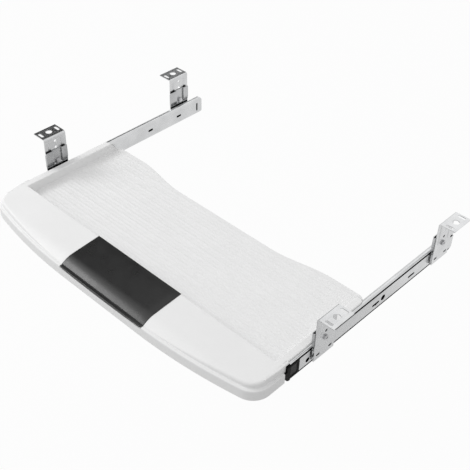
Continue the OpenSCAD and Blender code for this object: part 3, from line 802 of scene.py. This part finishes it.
# Metals: tones, roughness, stretch of the rolling marks
ROLLED = (6, 0.5, 6)
ZINC = ((0.59, 0.595, 0.60), (0.66, 0.665, 0.67), (0.2, 0.3), ROLLED)
# Near-black painted shade for the slides' insides, where channel and rail close each other in
SLIDE_INSIDE_SHADE = (grey(0.008), grey(0.02), SLIDE_SHADE_REACH)
zinc_steel = sheet_metal("zinc_steel", *ZINC)
hanger_steel = sheet_metal("hanger_steel", (0.44, 0.445, 0.45), (0.52, 0.525, 0.53), *ZINC[2:])
channel_steel = sheet_metal("channel_steel", *ZINC)
# Painted shade inside the channel, where the rail closes it in
repaint(channel_steel, (0.9, 11.1), (-16.6, 16.6), 4.6, *SLIDE_INSIDE_SHADE)
rail_steel = sheet_metal("rail_steel", *ZINC)
# Painted shade on the rail's inner faces, where the channel closes them in
repaint(rail_steel, (-1, 10.65), (-20, 20), 0.1, *SLIDE_INSIDE_SHADE)
screw_steel = sheet_metal("screw_steel", (0.5, 0.5, 0.51), (0.62, 0.62, 0.63), (0.2, 0.32), (3, 3, 3))
cage_steel = sheet_metal("cage_steel", (0.05, 0.048, 0.04), (0.09, 0.085, 0.07), (0.3, 0.45), ROLLED)
ball_steel = sheet_metal("ball_steel", (0.3, 0.3, 0.31), (0.36, 0.36, 0.37), (0.06, 0.12), (1, 1, 1))

# CAD nodes that stay take the finish of their kind
node_finish = {
    "tray_channel": channel_steel,
    "fixed_rail": rail_steel,
    "desk_angle": zinc_steel,
    "hanger": hanger_steel,
    "front_bumper": bumper_black,
    "channel_screws": screw_steel,
    "rail_rivets": screw_steel,
    "clamp_bolts": screw_steel,
    "clamp_nuts": screw_steel,
    "ball_cage": cage_steel,
    "slide_balls": ball_steel,
}
for name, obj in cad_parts.items():
    for ending, finish in node_finish.items():
        if name.endswith(ending):
            for slot in obj.material_slots:
                slot.material = finish

tray = build_tray()
tray.data.materials.append(tray_white)
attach(tray, "tray")
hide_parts("tray_shell")

ribs = build_tray_ribs()
ribs.data.materials.append(tray_white)
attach(ribs, "tray")

pad = build_pad()
pad.data.materials.append(pad_black)
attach(pad, "tray")
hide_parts("wrist_pad")

# A large hole in each rail and a round one in its slot; the two small ones are closed by flush plugs
for side, name in ((-1, "left"), (1, "right")):
    bm = bmesh.new()
    for hole in RAIL_HOLES:
        add_prism(bm, circle(*hole), 0, *sorted((side * (RAIL_X - 6), side * (RAIL_X + 3))))
    bmesh.ops.recalc_face_normals(bm, faces=bm.faces)
    cutter = bpy.data.objects.new("rail_hole_" + name, bpy.data.meshes.new("rail_hole_" + name))
    bm.to_mesh(cutter.data)
    bm.free()
    cut_hole(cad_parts[name + "_fixed_rail"], cutter)

    bm = bmesh.new()
    for share in PLUG_SHARES:
        outline = circle(RAIL_Y + share * RAIL_L, PLUG_Z, PLUG_R)
        add_prism(bm, outline, 0, *sorted((side * (RAIL_X - PLUG_T), side * (RAIL_X + PLUG_PROUD))))
    bmesh.ops.recalc_face_normals(bm, faces=bm.faces)
    plugs = finish_mesh(bm, name + "_rail_plugs", 30)
    cut_hole(plugs, cutter)
    plugs.data.materials.append(zinc_steel)
    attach(plugs, "bracket_frame")

# Camera, as worked out from the brackets' hole pattern in the photo
azimuth = math.radians(42.49)
elevation = math.radians(39.49)
roll = math.radians(1.94)
camera_at = Vector((0.83162, -0.91770, 0.88730))
level_part = math.cos(elevation)
cam_right = Vector((math.cos(azimuth), math.sin(azimuth), 0))
cam_back = Vector((math.sin(azimuth) * level_part, -math.cos(azimuth) * level_part, math.sin(elevation)))
cam_up = cam_back.cross(cam_right)
axis_x = math.cos(roll) * cam_right + math.sin(roll) * cam_up
axis_y = -math.sin(roll) * cam_right + math.cos(roll) * cam_up
cam_data = bpy.data.cameras.new("camera")
cam_data.sensor_width = 36
cam_data.lens = 68.70
camera = bpy.data.objects.new("camera", cam_data)
turn = Matrix((axis_x, axis_y, cam_back)).transposed()
camera.matrix_world = Matrix.Translation(camera_at) @ turn.to_4x4()
scene.collection.objects.link(camera)
scene.camera = camera


# Stage: heights and places in metres, the sky's levels as strengths

FLOOR_LEVEL = -0.5
FLOOR_TONE = 0.55
FLOOR_GLOW = 0.955
SKY_LEFT = 0.90
SKY_RIGHT = 0.595
tray_front = (0, -0.27, -0.06)
tray_middle = (0, -0.1, -0.05)


def seen_directly(tree):
    """1 for rays that show the background: camera, glossy and transmission rays."""
    path = tree.nodes.new("ShaderNodeLightPath")
    total = path.outputs["Is Camera Ray"]
    for kind in ("Is Glossy Ray", "Is Transmission Ray"):
        total = math_node(tree, "MAXIMUM", total, path.outputs[kind])
    return total


def facing(location, target):
    """Rotation that turns the -Z axis from the location to the target."""
    return (Vector(target) - Vector(location)).to_track_quat("-Z", "Y").to_euler()


def plane(name, size, location):
    """Square plane of the stage."""
    mesh = bpy.data.meshes.new(name)
    h = size / 2
    mesh.from_pydata([(-h, -h, 0), (h, -h, 0), (h, h, 0), (-h, h, 0)], [], [(0, 1, 2, 3)])
    obj = bpy.data.objects.new(name, mesh)
    obj.location = location
    scene.collection.objects.link(obj)
    return obj


def card(name, size, location, tone):
    """Plane that only reflections show."""
    obj = plane(name, size, location)
    mat, tree, shader = new_material(name)
    shader.inputs["Base Color"].default_value = (*grey(tone), 1)
    shader.inputs["Roughness"].default_value = 1
    shader.inputs["Specular IOR Level"].default_value = 0
    obj.data.materials.append(mat)
    obj.visible_camera = False
    obj.visible_diffuse = False
    obj.visible_shadow = False
    return obj


def softbox(name, location, target, width, height, power):
    """Soft studio light."""
    data = bpy.data.lights.new(name, "AREA")
    data.shape = "RECTANGLE"
    data.size = width
    data.size_y = height
    data.energy = power
    obj = bpy.data.objects.new(name, data)
    obj.location = location
    obj.rotation_euler = facing(location, target)
    scene.collection.objects.link(obj)


# Floor: white where it is seen, apart from the object's shadow; from below it is not there
floor = plane("floor", 14, (0, 0, FLOOR_LEVEL))
floor_mat, floor_tree, floor_shader = new_material("floor")
floor_tree.nodes.remove(floor_shader)
diffuse = floor_tree.nodes.new("ShaderNodeBsdfDiffuse")
diffuse.inputs["Color"].default_value = (*grey(FLOOR_TONE), 1)
glow = floor_tree.nodes.new("ShaderNodeEmission")
clear = floor_tree.nodes.new("ShaderNodeBsdfTransparent")
underside = floor_tree.nodes.new("ShaderNodeNewGeometry")
glow_share = math_node(floor_tree, "MULTIPLY", seen_directly(floor_tree), FLOOR_GLOW)
upper_side = mix_shaders(floor_tree, glow_share, diffuse.outputs[0], glow.outputs[0])
surface = mix_shaders(floor_tree, underside.outputs["Backfacing"], upper_side, clear.outputs[0])
floor_tree.links.new(surface, floor_tree.nodes["Material Output"].inputs["Surface"])
floor.data.materials.append(floor_mat)

# The upper left of the studio is brighter than the right; what is seen of it directly is white
world = bpy.data.worlds.new("studio")
scene.world = world
world.use_nodes = True
sky = world.node_tree
background = sky.nodes["Background"]
background.inputs["Color"].default_value = (1, 1, 1, 1)
direction = sky.nodes.new("ShaderNodeTexCoord")
across = sky.nodes.new("ShaderNodeVectorMath")
across.operation = "DOT_PRODUCT"
across.inputs[1].default_value = (0.9, 0, -0.44)
sky.links.new(direction.outputs["Generated"], across.inputs[0])
level = sky.nodes.new("ShaderNodeMix")
level.inputs["B"].default_value = 1
sky.links.new(seen_directly(sky), level.inputs["Factor"])
sky.links.new(map_range(sky, across.outputs["Value"], -1, 1, SKY_LEFT, SKY_RIGHT), level.inputs["A"])
sky.links.new(level.outputs["Result"], background.inputs["Strength"])

softbox("key", (-1.80, -1.32, 1.40), tray_front, 1.15, 0.8, 17.5)
softbox("upper", (-1.70, -0.85, 1.75), tray_front, 1.1, 0.55, 3.5)
softbox("back", (-0.7, 1.5, 1.5), tray_middle, 1.2, 1.2, 1.2)

# A black card for level metal on the left and for the pad, a grey one for the front of the right slide
flag = card("flag", 1.4, (-1.70, 0.90, 1.50), 0.02)
flag.rotation_euler = facing(flag.location, tray_middle)
card("grey_card", 0.7, (0.80, 0.05, -0.45), 0.95)

scene.view_settings.view_transform = "Standard"
